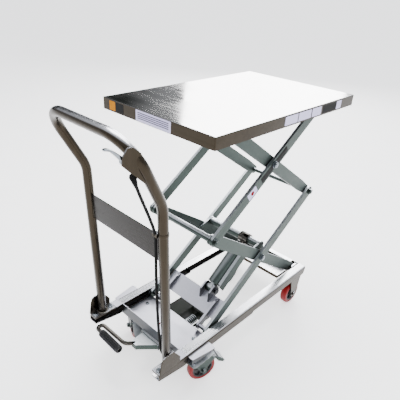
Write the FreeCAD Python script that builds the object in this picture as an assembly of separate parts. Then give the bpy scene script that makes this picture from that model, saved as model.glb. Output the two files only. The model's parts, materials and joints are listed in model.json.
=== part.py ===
"""Hand-pumped double scissor lift table, drawn raised, in millimetres.

+X points from the push handle to the front wheels, +Y to the user's left, +Z up.
Shapes are drawn about the middle of the table in plan, with z = 0 on the floor,
and save() shifts them so that the frame's origin is the middle of the whole footprint.
Left (+Y) pieces are drawn first and mirrored to the right where the two sides match.
"""
import FreeCAD, Part
import os
from math import asin, atan2, cos, degrees, hypot, pi, radians, sin, tan

V = FreeCAD.Vector
UP = V(0, 0, 1)
ACROSS = V(0, 1, 0)
ALONG = V(1, 0, 0)

# Table
TABLE_LENGTH = 700.0
TABLE_WIDTH = 450.0
TABLE_DEPTH = 35.0
TABLE_TOP = 900.0
TABLE_SHEET = 2.0
TABLE_HEM = 12.0

# Base rails, C channels that open inwards
RAIL_REAR = -478.0
RAIL_FRONT = 340.0
RAIL_OUT = 182.0
RAIL_IN = 148.0
RAIL_TOP = 166.0
RAIL_BOTTOM = 129.0
RAIL_STEP = 7.0
RAIL_SHEET = 3.0
RAIL_ROUND = 6.0

# Scissor
ARM_LENGTH = 653.0
FRONT_PIVOT_X = 318.0
BASE_PIVOT_Z = 147.5
TABLE_PIVOT_Z = 881.2
OUTER_Y = (134.0, 144.0)
INNER_Y = (123.0, 131.0)
OUTER_HALF = 18.0
INNER_HALF = 21.0
INNER_END = 17.0
TOP_END = 16.0
PIN_R = 8.0
RUN = 0.05
OPEN_RUN = 0.4
BASE_ROLLER_R = 15.2
TOP_ROLLER_R = 14.0

# Wheels
WHEEL_R = 50.0
HUB_R = 37.0
TYRE_W = 28.0
AXLE_R = 6.0
FRONT_WHEEL_X = 285.0
FRONT_WHEEL_Y = 154.5
SWIVEL_X = -306.0
SWIVEL_Y = 163.0
TRAIL = 28.0
CASTER_TURN = {"right": -18.0, "left": -116.0}
CASTER_PLATE_TOP = 126.5
CASTER_PLATE_BOTTOM = 122.5
CASTER_BOLTS = [(SWIVEL_X + x, SWIVEL_Y + y) for x in (-37, 37) for y in (-41, 32)]
FORK_CHEEKS = ((133.0, 136.0), (173.0, 176.0))
BRAKE_PIN = V(66.0, 0.0, 91.0)

# Deck and push handle
DECK_REAR = -362.0
DECK_FRONT = -227.0
DECK_TOP = 129.0
DECK_SHEET = 2.5
TUBE_R = 14.0
TUBE_WALL = 2.0
KNEE_BEND = 96.0
TOP_BEND = 85.0
POST_FOOT = V(-435.0, 168.0, 169.0)
POST_KNEE = V(-459.0, 165.3, 730.0)
POST_TOP = V(-561.0, 180.0, 921.0)
FOOT_SHEET = 3.0
FOOT_BOLTS = [(-466.0, 166.0), (-404.0, 166.0)]
PANEL_Z = (556.0, 640.0)

# Release lever and its cable, which runs down the right post and under the deck to the pump
LEVER_PIVOT = V(-569.0, -168.0, 878.0)
LEVER_TIP_X = -612.0
LEVER_PIN_R = 4.0
CABLE_R = 4.0
CABLE = [V(-550, -166, 840), V(-541, -164.5, 816), V(-520.5, -160.5, 768), V(-494, -156.5, 710),
         V(-469.3, -151.8, 650), V(-466.8, -151, 555), V(-463.6, -151, 455), V(-458.6, -151.8, 355),
         V(-450, -151, 265), V(-437, -144, 208), V(-414, -130, 172), V(-392, -113, 139),
         V(-364, -92, 116), V(-322, -73, 104), V(-272, -56, 92), V(-212, -47, 85), V(-150, -47, 85)]

# Ram: clevis pin on the lower outer arms, eye on the lower inner arms' cross tube
CLEVIS_ALONG = 132.0
STRUT_Y = (96.0, 104.0)
RAM_Y = -50.0
TORSION_ALONG = 5.0
TORSION_RISE = 36.0
TORSION_R = 15.0
BARREL_R = 25.0
BARREL_BORE = 15.5
ROD_R = 10.0

# Foot pump
PEDAL_PIVOT = V(-352.0, 0.0, 112.0)
PEDAL_PIN_R = 5.0
PEDAL_R = 7.0
PEDAL_PATH = [V(-412, 9, 112), V(-452, 22, 128), V(-466, 124, 150), V(-490, 124, 151),
              V(-494, -4, 152)]
GRIP_R = 13.5
GRIP_LENGTH = 104.0
PLUNGER_Y = -28.0
PLUNGER_Z = 98.0
PLUNGER_R = 8.0

# Places that follow from the driving dimensions
RISE = (TABLE_PIVOT_Z - BASE_PIVOT_Z) / 2
ANGLE = asin(RISE / ARM_LENGTH)
SPAN = ARM_LENGTH * cos(ANGLE)
REAR_PIVOT_X = FRONT_PIVOT_X - SPAN
MIDDLE_X = (FRONT_PIVOT_X + REAR_PIVOT_X) / 2
JOINT_Z = BASE_PIVOT_Z + RISE
FRAME_SHIFT = V(-(LEVER_TIP_X + TABLE_LENGTH / 2) / 2, 0, 0)

UP_FRONT = V(cos(ANGLE), 0, sin(ANGLE))
UP_FRONT_NORMAL = V(-sin(ANGLE), 0, cos(ANGLE))
UP_REAR = V(-cos(ANGLE), 0, sin(ANGLE))
UP_REAR_NORMAL = V(sin(ANGLE), 0, cos(ANGLE))

BASE_REAR = V(REAR_PIVOT_X, 0, BASE_PIVOT_Z)
BASE_FRONT = V(FRONT_PIVOT_X, 0, BASE_PIVOT_Z)
JOINT_REAR = V(REAR_PIVOT_X, 0, JOINT_Z)
JOINT_FRONT = V(FRONT_PIVOT_X, 0, JOINT_Z)
TABLE_REAR = V(REAR_PIVOT_X, 0, TABLE_PIVOT_Z)
TABLE_FRONT = V(FRONT_PIVOT_X, 0, TABLE_PIVOT_Z)
LOWER_MIDDLE = (BASE_REAR + JOINT_FRONT) * 0.5
UPPER_MIDDLE = (JOINT_REAR + TABLE_FRONT) * 0.5
CLEVIS = BASE_REAR + UP_FRONT * CLEVIS_ALONG
TORSION = LOWER_MIDDLE + UP_REAR * TORSION_ALONG + UP_REAR_NORMAL * TORSION_RISE


def save(name, *solids):
    """Write one node; several solids stay separate in a compound."""
    shape = solids[0] if len(solids) == 1 else Part.makeCompound(list(solids))
    shape = shape.copy()
    shape.translate(FRAME_SHIFT)
    shape.exportStep("parts/" + name + ".step")


def fuse(*solids):
    return solids[0].multiFuse(list(solids[1:])).removeSplitter()


def box(x, y, z):
    """A box from three (low, high) pairs."""
    size = (x[1] - x[0], y[1] - y[0], z[1] - z[0])
    return Part.makeBox(*size, V(x[0], y[0], z[0]))


def disc(place, y, radius, hole=0.0):
    """A cylinder across the table, from y[0] to y[1], on the axis through place."""
    solid = Part.makeCylinder(radius, y[1] - y[0], V(place.x, y[0], place.z), ACROSS)
    if hole:
        solid = solid.cut(Part.makeCylinder(hole, y[1] - y[0], V(place.x, y[0], place.z), ACROSS))
    return solid


def side_plate(points, y):
    """A flat outline in XZ, given as (x, z) pairs, made solid from y[0] to y[1]."""
    corners = [V(px, y[0], pz) for px, pz in points]
    face = Part.Face(Part.makePolygon(corners + corners[:1]))
    return face.extrude(V(0, y[1] - y[0], 0))


def floor_plate(points, z):
    """A flat outline in XY, given as (x, y) pairs, made solid from z[0] to z[1]."""
    corners = [V(px, py, z[0]) for px, py in points]
    face = Part.Face(Part.makePolygon(corners + corners[:1]))
    return face.extrude(V(0, 0, z[1] - z[0]))


def hexagon(place, direction, across_flats, height):
    """A hexagonal head or nut that stands on place along direction."""
    radius = across_flats / 2 / cos(pi / 6)
    points = [V(radius * cos(k * pi / 3), radius * sin(k * pi / 3), 0) for k in range(7)]
    solid = Part.Face(Part.makePolygon(points)).extrude(V(0, 0, height))
    solid.Placement = FreeCAD.Placement(place, FreeCAD.Rotation(UP, direction))
    return solid


def mirror(solid):
    return solid.mirror(V(0, 0, 0), ACROSS)


def side_of(name, solid):
    """The solid as drawn for the left, or mirrored for the right."""
    return solid if name == "left" else mirror(solid)


def bent_path(points, radii):
    """Straight runs through points, joined by tangent arcs of the given radii."""
    edges = []
    start = points[0]
    for before, corner, after, radius in zip(points, points[1:], points[2:], radii):
        inward = (corner - before).normalize()
        outward = (after - corner).normalize()
        turn = inward.getAngle(outward)
        cut = radius * tan(turn / 2)
        first = corner - inward * cut
        last = corner + outward * cut
        to_centre = (outward - inward).normalize()
        middle = corner + to_centre * (radius / cos(turn / 2) - radius)
        edges.append(Part.LineSegment(start, first).toShape())
        edges.append(Part.Arc(first, middle, last).toShape())
        start = last
    edges.append(Part.LineSegment(start, points[-1]).toShape())
    return Part.Wire(edges)


def rod_along(points, radii, radius):
    """A round solid bar along a bent path."""
    path = bent_path(points, radii)
    ring = Part.Wire(Part.makeCircle(radius, points[0], points[1] - points[0]))
    return Part.Wire(path).makePipeShell([ring], True, True)


def find_edges(solid, test):
    return [edge for edge in solid.Edges if test(edge.BoundBox)]


def arm(low, high, y, half, low_end, high_end, holes):
    """A flat bar between two pivots with round ends; holes are (place, radius)."""
    along = (high - low).normalize()
    normal = V(-along.z, 0, along.x)
    length = (high - low).Length
    taper = 60.0
    rim = [(0, low_end), (taper, half), (length - taper, half), (length, high_end)]
    places = [low + along * s + normal * h for s, h in rim]
    places += [low + along * s - normal * h for s, h in reversed(rim)]
    body = side_plate([(p.x, p.z) for p in places], y)
    solid = fuse(body, disc(low, y, low_end), disc(high, y, high_end))
    for place, radius in holes:
        solid = solid.cut(disc(place, y, radius))
    return solid


# Base frame ---------------------------------------------------------------

def base_rail():
    """Folded channel: deep where the roller runs, shallower over the front wheel."""
    front_bottom = RAIL_BOTTOM + RAIL_STEP
    outline = [(RAIL_REAR, 144), (-378, RAIL_BOTTOM), (-18, RAIL_BOTTOM), (-13, front_bottom),
               (RAIL_FRONT - 13, front_bottom), (RAIL_FRONT, RAIL_TOP), (RAIL_REAR, RAIL_TOP)]
    solid = side_plate(outline, (RAIL_IN, RAIL_OUT))
    top_corner = find_edges(solid, lambda b: b.XLength > 700 and b.YMin > 181 and b.ZMin > 165)
    solid = solid.makeFillet(RAIL_ROUND, top_corner)
    inside_top = RAIL_TOP - RAIL_SHEET
    inside = [(RAIL_REAR - 2, 147.3), (-378, RAIL_BOTTOM + RAIL_SHEET),
              (-20, RAIL_BOTTOM + RAIL_SHEET), (-15, front_bottom + RAIL_SHEET),
              (RAIL_FRONT + 2, front_bottom + RAIL_SHEET), (RAIL_FRONT + 2, inside_top),
              (RAIL_REAR - 2, inside_top)]
    solid = solid.cut(side_plate(inside, (RAIL_IN - 1, RAIL_OUT - RAIL_SHEET)))
    for x, y in FOOT_BOLTS:
        solid = solid.cut(Part.makeCylinder(4.0, 8, V(x, y, RAIL_TOP - 5)))
    return solid


def front_cross_member():
    """Tray between the rails, with a folded front flange as high as the rails."""
    low = 124.0
    sheet = 3.0
    front = RAIL_FRONT
    half = 117.5
    tray = [(230, low), (front - sheet, low), (front - sheet, low + sheet),
            (230 + sheet, low + sheet), (230 + sheet, 139), (230, 139)]
    side = box((230, front - sheet), (half - sheet, half), (low, 139))
    flange = box((front - sheet, front), (-RAIL_IN, RAIL_IN), (low, RAIL_TOP))
    lip = box((front - 20, front), (-half, half), (RAIL_TOP - sheet, RAIL_TOP))
    solid = fuse(side_plate(tray, (-half, half)), side, mirror(side), flange, lip)
    return solid


def front_pivot_bracket():
    """Ear beside the lower inner arm's foot, standing on the wheel fork."""
    ear = box((298, RAIL_FRONT - 3), (134, 140), (RAIL_BOTTOM + RAIL_STEP, 163))
    return ear.cut(disc(BASE_FRONT, (133, 141), PIN_R))


def pivot_pin(place, y, head_at, nut_af=19.0):
    """Shouldered pin across y, with a washer and a hexagon nut on its thread outside."""
    shank = disc(place, y, PIN_R)
    washer = disc(place, (head_at, head_at + 1.8), nut_af / 2 + 3)
    nut = hexagon(V(place.x, head_at + 1.8, place.z), ACROSS, nut_af, 6.5)
    thread = disc(place, (y[1] - 1, head_at + 10.3), nut_af * 0.31)
    return fuse(shank, washer, nut, thread)


def pin_pair(place, y, head_at, nut_af=19.0):
    pin = pivot_pin(place, y, head_at, nut_af)
    return pin, mirror(pin)


def front_fork():
    """Inverted U of plate under the rail, tapering to the wheel's axle."""
    top = RAIL_BOTTOM + RAIL_STEP
    cheek = [(250, top), (326, top), (302, 44), (294, 37), (276, 37), (268, 44)]
    inner, outer = FORK_CHEEKS
    crown = box((250, 326), (inner[0], outer[1]), (top - 3, top))
    solid = fuse(side_plate(cheek, inner), side_plate(cheek, outer), crown)
    return solid.cut(disc(V(FRONT_WHEEL_X, 0, WHEEL_R), (inner[0] - 5, outer[1] + 5), AXLE_R))


def axle(place, low, high):
    """Axle bolt across y from low to high, with a domed head outside and a nut inside."""
    shank = disc(place, (low - 9, high), AXLE_R)
    head = disc(place, (high, high + 5), 9.5)
    rim = find_edges(head, lambda b: b.YMin > high + 4.9)
    head = head.makeFillet(2.5, rim)
    nut = hexagon(V(place.x, low - 7, place.z), ACROSS, 16, 7)
    return fuse(shank, head, nut)


# Wheels, drawn about their own axle with the axle along Y -------------------

def tyre():
    ring = disc(V(0, 0, 0), (-TYRE_W / 2, TYRE_W / 2), WHEEL_R)
    ring = ring.makeFillet(8.0, find_edges(ring, lambda b: b.YLength < 0.1))
    return ring.cut(disc(V(0, 0, 0), (-TYRE_W, TYRE_W), HUB_R))


def hub():
    """Moulded centre: rim, web with five windows, and a boss longer than the tyre is wide."""
    rim = disc(V(0, 0, 0), (-12, 12), HUB_R, HUB_R - 5)
    web = disc(V(0, 0, 0), (-4, 4), HUB_R - 4)
    boss = disc(V(0, 0, 0), (-17, 17), 13)
    solid = fuse(rim, web, boss)
    for k in range(5):
        place = V(23 * cos(2 * pi * k / 5), 0, 23 * sin(2 * pi * k / 5))
        solid = solid.cut(disc(place, (-6, 6), 6.0))
    return solid.cut(disc(V(0, 0, 0), (-20, 20), AXLE_R + RUN))


def at_front_wheel(solid, side):
    moved = solid.copy()
    moved.translate(V(FRONT_WHEEL_X, FRONT_WHEEL_Y, WHEEL_R))
    return side_of(side, moved)


# Swivel casters, drawn with the swivel axis on Z and the wheel behind it on +X ----

def to_caster(solid, side):
    moved = solid.copy()
    moved.rotate(V(0, 0, 0), UP, CASTER_TURN[side])
    moved.translate(V(SWIVEL_X, SWIVEL_Y if side == "left" else -SWIVEL_Y, 0))
    return moved


def caster_plate():
    """Top plate with a king pin, under the rail."""
    plate = box((-50, 50), (-50, 42), (CASTER_PLATE_BOTTOM, CASTER_PLATE_TOP))
    plate = plate.makeFillet(8, find_edges(plate, lambda b: b.XLength < 0.1 and b.YLength < 0.1))
    pin = Part.makeCylinder(AXLE_R, 22, V(0, 0, CASTER_PLATE_BOTTOM - 20))
    cap = Part.makeCylinder(9, 2.5, V(0, 0, CASTER_PLATE_BOTTOM - 20.5))
    return fuse(plate, pin, cap)


def caster_fork():
    """Raceway, crown and two legs that carry the axle behind the swivel axis."""
    race = Part.makeCylinder(31, 9, V(0, 0, 113))
    race = race.makeFillet(3, find_edges(race, lambda b: b.ZMax < 113.1 or b.ZMin > 121.9))
    crown = Part.makeCylinder(27, 4, V(0, 0, 109.5))
    leg_shape = [(-25, 112), (27, 112), (68, 98), (72, 88), (60, 80), (42, 58), (37, 41), (19, 41),
                 (13, 56), (-18, 92)]
    leg = side_plate(leg_shape, (18.5, 21.5))
    bridge = box((-25, 20), (-21.5, 21.5), (108, 113))
    bore = Part.makeCylinder(AXLE_R + RUN, 40, V(0, 0, 90))
    solid = fuse(race, crown, leg, mirror(leg), bridge)
    pocket = Part.makeCylinder(9.6, 4.2, V(0, 0, 101))
    solid = solid.cut(bore).cut(pocket)
    solid = solid.cut(disc(V(TRAIL, 0, WHEEL_R), (-30, 30), AXLE_R))
    return solid.cut(disc(BRAKE_PIN, (-30, 30), 4.0))


def brake_pedal():
    """Treadle on a cross pin between the legs: a hollow pressing with a foot pad on top."""
    pin = disc(BRAKE_PIN, (-23, 23), 4.0 - RUN)
    outline = [(58, 97), (66, 99), (84, 82), (106, 62), (111, 53), (108, 49), (86, 62), (80, 72),
               (74, 82), (66, 87)]
    hollow = [(64, 96.2), (66, 96.4), (83, 79.8), (103.8, 60.8), (107.6, 54), (104, 44), (70, 56),
              (52, 88)]
    pad = [(84, 82), (106, 62), (111, 53), (113.5, 54), (108, 64), (86, 84.2)]
    body = side_plate(outline, (-16.5, 16.5)).cut(side_plate(hollow, (-13.5, 13.5)))
    return fuse(body, pin, side_plate(pad, (-17.5, 17.5)))


def caster_bracket():
    """Zinc angle on the rail's web over the caster, with a lip that tapers forwards."""
    rear = -356.0
    front = -262.0
    web = box((rear, front), (RAIL_OUT, RAIL_OUT + 2.5), (RAIL_BOTTOM, 157))
    wing = floor_plate([(rear, RAIL_OUT), (front, RAIL_OUT), (front, 213), (front - 5, 216),
                        (rear, 202)], (154.5, 157))
    lip_low = floor_plate([(rear, 199.5), (front - 6, 213.4), (front - 6, 215.9), (rear, 202)],
                          (138, 155))
    taper = side_plate([(rear - 1, 137), (front, 137), (front, 152), (rear - 1, 137.5)], (190, 220))
    return fuse(web, wing, lip_low.cut(taper))


def caster_bolts():
    """Bolts through the caster plates, with domed nuts on the deck inboard."""
    bolts = []
    for side in (1, -1):
        for x, y in CASTER_BOLTS:
            top = DECK_TOP if y < SWIVEL_Y else CASTER_PLATE_TOP
            head = hexagon(V(x, side * y, CASTER_PLATE_BOTTOM - 5), UP, 13, 5)
            shank = Part.makeCylinder(4, top - CASTER_PLATE_BOTTOM + 1,
                                      V(x, side * y, CASTER_PLATE_BOTTOM - 1))
            dome = Part.makeCylinder(7, 4, V(x, side * y, top))
            dome = dome.makeFillet(2.5, find_edges(dome, lambda b: b.ZMin > top + 3.9))
            bolts.append(fuse(head, shank, dome))
    return bolts


def bolt_holes(solid):
    """Cut the caster bolts' holes."""
    for side in (1, -1):
        for x, y in CASTER_BOLTS:
            solid = solid.cut(Part.makeCylinder(4, 20, V(x, side * y, 115)))
    return solid


# Deck and handle ------------------------------------------------------------

def deck_plate():
    """Zinc plate under the rails, with a rear wall whose ends rest on the rails."""
    low = DECK_TOP - DECK_SHEET
    plate = box((DECK_REAR, DECK_FRONT), (-178, 178), (low, DECK_TOP))
    wall = box((DECK_REAR - DECK_SHEET, DECK_REAR), (-147.5, 147.5), (low, RAIL_TOP + 3))
    strip = box((DECK_REAR - DECK_SHEET, DECK_REAR), (-RAIL_OUT, RAIL_OUT), (RAIL_TOP, RAIL_TOP + 3))
    tab = box((-392, DECK_REAR), (147, RAIL_OUT), (RAIL_TOP, RAIL_TOP + 2.5))
    return bolt_holes(fuse(plate, wall, strip, tab, mirror(tab)))


def handle_foot():
    """Angle bolted on the rail's rear end, with a gusset behind the post."""
    top = RAIL_TOP + FOOT_SHEET
    base = box((RAIL_REAR, -394), (RAIL_IN, RAIL_OUT + FOOT_SHEET), (RAIL_TOP, top))
    gusset = side_plate([(RAIL_REAR, RAIL_TOP), (-470, 212), (-464, 226), (-456, 231), (-424, 231),
                         (-398, 196), (-394, 190), (-394, RAIL_TOP)],
                        (RAIL_OUT, RAIL_OUT + FOOT_SHEET))
    solid = fuse(base, gusset)
    for x, y in FOOT_BOLTS:
        solid = solid.cut(Part.makeCylinder(4.0, 8, V(x, y, RAIL_TOP - 2)))
    return solid


def handle_bolts():
    """Round-headed bolts through the feet, with nuts inside the rails."""
    bolts = []
    for side in (1, -1):
        for x, y in FOOT_BOLTS:
            top = RAIL_TOP + FOOT_SHEET
            head = Part.makeCylinder(9, 4, V(x, side * y, top))
            head = head.makeFillet(3, find_edges(head, lambda b: b.ZMin > top + 3.9))
            shank = Part.makeCylinder(4, 13, V(x, side * y, top - 12.5))
            nut = hexagon(V(x, side * y, RAIL_TOP - RAIL_SHEET - 6), UP, 13, 6)
            bolts.append(fuse(head, shank, nut))
    return bolts


def handle_points():
    """The tube's corners from the left foot over the top to the right foot."""
    below = POST_FOOT + (POST_FOOT - POST_KNEE) * 0.01
    left = [below, POST_KNEE, POST_TOP]
    return left + [V(p.x, -p.y, p.z) for p in reversed(left)]


def handle_tube():
    """One bent tube: two posts with a knee, and a top bar with wide corners."""
    radii = [KNEE_BEND, TOP_BEND, TOP_BEND, KNEE_BEND]
    outside = rod_along(handle_points(), radii, TUBE_R)
    inside = rod_along(handle_points(), radii, TUBE_R - TUBE_WALL)
    outside = outside.cut(box((-500, -380), (-200, 200), (150, RAIL_TOP + FOOT_SHEET)))
    return outside, outside.cut(inside)


def handle_panel(tube_solid):
    """Flat plate between the posts, cut to the tubes and tilted with them."""
    lean = (POST_KNEE.x - POST_FOOT.x) / (POST_KNEE.z - POST_FOOT.z)
    bottom, top = PANEL_Z
    x0 = POST_FOOT.x + lean * (bottom - POST_FOOT.z)
    x1 = POST_FOOT.x + lean * (top - POST_FOOT.z)
    half = 1.5
    outline = [(x0 - half, bottom), (x0 + half, bottom), (x1 + half, top), (x1 - half, top)]
    return side_plate(outline, (-166, 166)).cut(tube_solid)


# Release lever and cable ------------------------------------------------------

def lever_bracket(tube_solid):
    """Plate welded beside the right post's upper run, with the lever's pin."""
    plate = side_plate([(-507, 838), (-515, 852), (-534, 892), (-556, 910), (-569, 910),
                        (-582, 894), (-584, 874), (-570, 860), (-545, 836), (-524, 816)],
                       (-178, -174))
    pin = disc(LEVER_PIVOT, (-174, -157), LEVER_PIN_R)
    cap = disc(LEVER_PIVOT, (-158, -156), 7.0)
    return fuse(plate, pin, cap).cut(tube_solid)


def release_lever():
    """Pressed lever: boss on the pin, grip swept up to the rear, cable nose below."""
    outline = [(-557, 870), (-553, 858), (-559, 852), (-569, 864), (-581, 872), (-594, 888),
               (-604, 898), (LEVER_TIP_X, 903), (LEVER_TIP_X, 909), (-603, 912), (-592, 906),
               (-581, 893), (-569, 889), (-559, 882)]
    blade = side_plate(outline, (-173.7, -160))
    blade = blade.makeFillet(1.5, find_edges(blade, lambda b: b.YLength > 10))
    boss = disc(LEVER_PIVOT, (-173.7, -158.3), 10.0)
    return fuse(blade, boss).cut(disc(LEVER_PIVOT, (-175, -157), LEVER_PIN_R + RUN))


def cable_radii():
    """Each bend's radius: 0.45 of the shorter run over the tangent of half the turn."""
    radii = []
    for before, corner, after in zip(CABLE, CABLE[1:], CABLE[2:]):
        turn = (corner - before).getAngle(after - corner)
        shorter = min((corner - before).Length, (after - corner).Length)
        radii.append(0.45 * shorter / tan(turn / 2))
    return radii


def release_cable():
    """Sheathed cable from the lever down beside the post, then under the deck to the pump."""
    sheath = rod_along(CABLE, cable_radii(), CABLE_R)
    boot = Part.makeCone(7.0, CABLE_R + 0.6, 34, CABLE[0], CABLE[1] - CABLE[0])
    return fuse(sheath, boot)


def cable_clip(tube_solid):
    """Strap that holds the cable to the post above the panel."""
    place = POST_KNEE + (POST_FOOT - POST_KNEE) * 0.155
    band = Part.makeCylinder(TUBE_R + 1.2, 10, V(place.x, -place.y, place.z), UP)
    ear = box((-475, -461), (-162, -145), (place.z, place.z + 10))
    cable = rod_along(CABLE, cable_radii(), CABLE_R)
    return fuse(band, ear).cut(tube_solid).cut(cable)


# Scissor --------------------------------------------------------------------------

def roller_stub(place):
    """Stub axle for a roller, with a retaining ring beyond it."""
    stub = disc(place, (OUTER_Y[1] - 1, 166), PIN_R)
    ring = disc(place, (164.4, 166), PIN_R + 2.5)
    return fuse(stub, ring)


def roller(place, radius):
    wheel = disc(place, (147.5, 163.9), radius)
    wheel = wheel.makeFillet(1.5, find_edges(wheel, lambda b: b.YLength < 0.1))
    return wheel.cut(disc(place, (140, 170), PIN_R + RUN))


def lower_outer_arm():
    holes = [(LOWER_MIDDLE, PIN_R), (JOINT_FRONT, PIN_R + RUN)]
    bar = arm(BASE_REAR, JOINT_FRONT, OUTER_Y, OUTER_HALF, OUTER_HALF, OUTER_HALF, holes)
    return fuse(bar, roller_stub(BASE_REAR))


def lower_inner_arm():
    holes = [(BASE_FRONT, PIN_R + RUN), (LOWER_MIDDLE, PIN_R + RUN), (JOINT_REAR, PIN_R + RUN)]
    return arm(BASE_FRONT, JOINT_REAR, INNER_Y, INNER_HALF, INNER_END, INNER_END, holes)


def upper_outer_arm():
    holes = [(JOINT_REAR, PIN_R), (UPPER_MIDDLE, PIN_R), (TABLE_FRONT, PIN_R + RUN)]
    return arm(JOINT_REAR, TABLE_FRONT, OUTER_Y, OUTER_HALF, OUTER_HALF, TOP_END, holes)


def upper_inner_arm():
    holes = [(JOINT_FRONT, PIN_R), (UPPER_MIDDLE, PIN_R + OPEN_RUN)]
    bar = arm(JOINT_FRONT, TABLE_REAR, INNER_Y, INNER_HALF, INNER_END, TOP_END, holes)
    stub = fuse(disc(TABLE_REAR, (INNER_Y[1] - 1, 166), PIN_R), disc(TABLE_REAR, (164.4, 166), 10.5))
    return fuse(bar, stub)


def lower_cross_plate():
    """Plate that ties the lower outer arms, with the ram's clevis and two struts from the roller shafts."""
    def at(s, h):
        place = BASE_REAR + UP_FRONT * s + UP_FRONT_NORMAL * h
        return (place.x, place.z)

    plate = side_plate([at(44, -13), at(118, -13), at(118, -7), at(44, -7)],
                       (-OUTER_Y[0], OUTER_Y[0]))
    clevis_ears = []
    for y in ((RAM_Y - 23, RAM_Y - 17), (RAM_Y + 17, RAM_Y + 23)):
        clevis_ears.append(side_plate([at(70, -13), at(118, -20), at(140, -20), at(149, -10), at(149, 14),
                                       at(141, 24), at(108, 24), at(84, -7)], y))
    struts = []
    for y in (STRUT_Y, (-STRUT_Y[1], -STRUT_Y[0])):
        bar = side_plate([at(0, 12), at(98, 8), at(118, -7), at(118, -13), at(92, -15), at(0, -12)], y)
        struts += [bar, disc(BASE_REAR, y, 14)]
    shafts = [disc(BASE_REAR, (STRUT_Y[0], OUTER_Y[0]), PIN_R),
              disc(BASE_REAR, (-OUTER_Y[0], -STRUT_Y[0]), PIN_R)]
    solid = fuse(plate, *clevis_ears, *struts, *shafts)
    return solid.cut(disc(CLEVIS, (RAM_Y - 30, RAM_Y + 30), PIN_R))


def clevis_bolt():
    shank = disc(CLEVIS, (RAM_Y - 26, RAM_Y + 23), PIN_R)
    head = hexagon(V(CLEVIS.x, RAM_Y + 23, CLEVIS.z), ACROSS, 19, 7)
    nut = hexagon(V(CLEVIS.x, RAM_Y - 31, CLEVIS.z), ACROSS, 19, 8)
    return fuse(shank, head, nut)


def torsion_tube():
    """Cross tube above the lower inner arms' middle, on two welded levers."""
    def at(s, h):
        place = LOWER_MIDDLE + UP_REAR * s + UP_REAR_NORMAL * h
        return (place.x, place.z)

    tube = disc(TORSION, (-117, 117), TORSION_R)
    outline = [at(-52, -6), at(-46, 8), at(-14, 41), at(24, 41), at(44, 20), at(62, -6)]
    levers = []
    for y in ((117, INNER_Y[0]), (-INNER_Y[0], -117)):
        levers.append(fuse(side_plate(outline, y), disc(TORSION, y, TORSION_R + 3)))
    return fuse(tube, *levers)


def cross_shaft(place, radius):
    """Shaft between the inner arms, stepped down through both pairs of arms, with nuts."""
    middle = disc(place, (-INNER_Y[0] + 0.3, INNER_Y[0] - 0.3), radius)
    end = pivot_pin(place, (INNER_Y[0] - 2, OUTER_Y[1] + 2), OUTER_Y[1] + 0.3)
    return fuse(middle, end, mirror(end))


# Ram ---------------------------------------------------------------------------------

RAM_LENGTH = (TORSION - CLEVIS).Length
RAM_ANGLE = atan2(TORSION.z - CLEVIS.z, TORSION.x - CLEVIS.x)
RAM_ALONG = V(cos(RAM_ANGLE), 0, sin(RAM_ANGLE))
RAM_START = V(CLEVIS.x, RAM_Y, CLEVIS.z)


def ram_cylinder(low, high, radius):
    return Part.makeCylinder(radius, high - low, RAM_START + RAM_ALONG * low, RAM_ALONG)


def ram_barrel():
    """Barrel with a lug at its foot and a gland at its mouth."""
    tube = ram_cylinder(20, 166, BARREL_R)
    collar = ram_cylinder(150, 172, BARREL_R + 2.5)
    rim = find_edges(collar, lambda b: True)
    collar = collar.makeChamfer(1.5, rim[:1])
    lug = disc(CLEVIS, (RAM_Y - 15, RAM_Y + 15), 15)
    neck = ram_cylinder(0, 24, 14)
    solid = fuse(tube, collar, lug, neck)
    solid = solid.cut(ram_cylinder(30, 174, BARREL_BORE))
    return solid.cut(disc(CLEVIS, (RAM_Y - 20, RAM_Y + 20), PIN_R + RUN))


def ram_plate():
    """Long folded plate clamped to the barrel's outer side."""
    def at(s, h):
        place = CLEVIS + RAM_ALONG * s + V(-sin(RAM_ANGLE), 0, cos(RAM_ANGLE)) * h
        return (place.x, place.z)

    outline = [at(16, -22), at(52, -22), at(64, -29), at(96, -29), at(108, -22), at(168, -22),
               at(168, 14), at(16, 14)]
    web = side_plate(outline, (RAM_Y - 36, RAM_Y - 33))
    flange = side_plate([at(24, 11), at(168, 11), at(168, 14), at(24, 14)],
                        (RAM_Y - 36, RAM_Y - 24.5))
    bosses = [disc(CLEVIS + RAM_ALONG * s, (RAM_Y - 34, RAM_Y - 22), 7) for s in (38, 140)]
    solid = fuse(web, flange, *bosses)
    return solid.cut(ram_cylinder(20, 166, BARREL_R)).cut(ram_cylinder(150, 172, BARREL_R + 2.5))


def ram_rod():
    """Piston rod with an eye round the cross tube."""
    rod = ram_cylinder(68, RAM_LENGTH - 17, ROD_R)
    piston = ram_cylinder(62, 76, 11.5)
    eye = disc(TORSION, (RAM_Y - 19, RAM_Y + 19), TORSION_R + 5.5)
    return fuse(rod, piston, eye).cut(disc(TORSION, (RAM_Y - 20, RAM_Y + 20), TORSION_R + RUN))


# Foot pump ------------------------------------------------------------------------------

def pump_body():
    """Cast block under the deck, with the plunger's cylinder beside the reservoir."""
    block = box((-300, -142), (-2, 66), (82, DECK_TOP - DECK_SHEET))
    block = block.makeFillet(7, find_edges(block, lambda b: b.ZLength > 40))
    cylinder_block = box((-150, -110), (-52, 2), (76, 120))
    nose = Part.makeCylinder(11.5, 42, V(-190, PLUNGER_Y, PLUNGER_Z), ALONG)
    valve = Part.makeCylinder(9, 8, V(-126, -12, 118), UP)
    solid = fuse(block, cylinder_block, nose, valve)
    return solid.cut(Part.makeCylinder(PLUNGER_R + RUN, 77, V(-195, PLUNGER_Y, PLUNGER_Z), ALONG))


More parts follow.
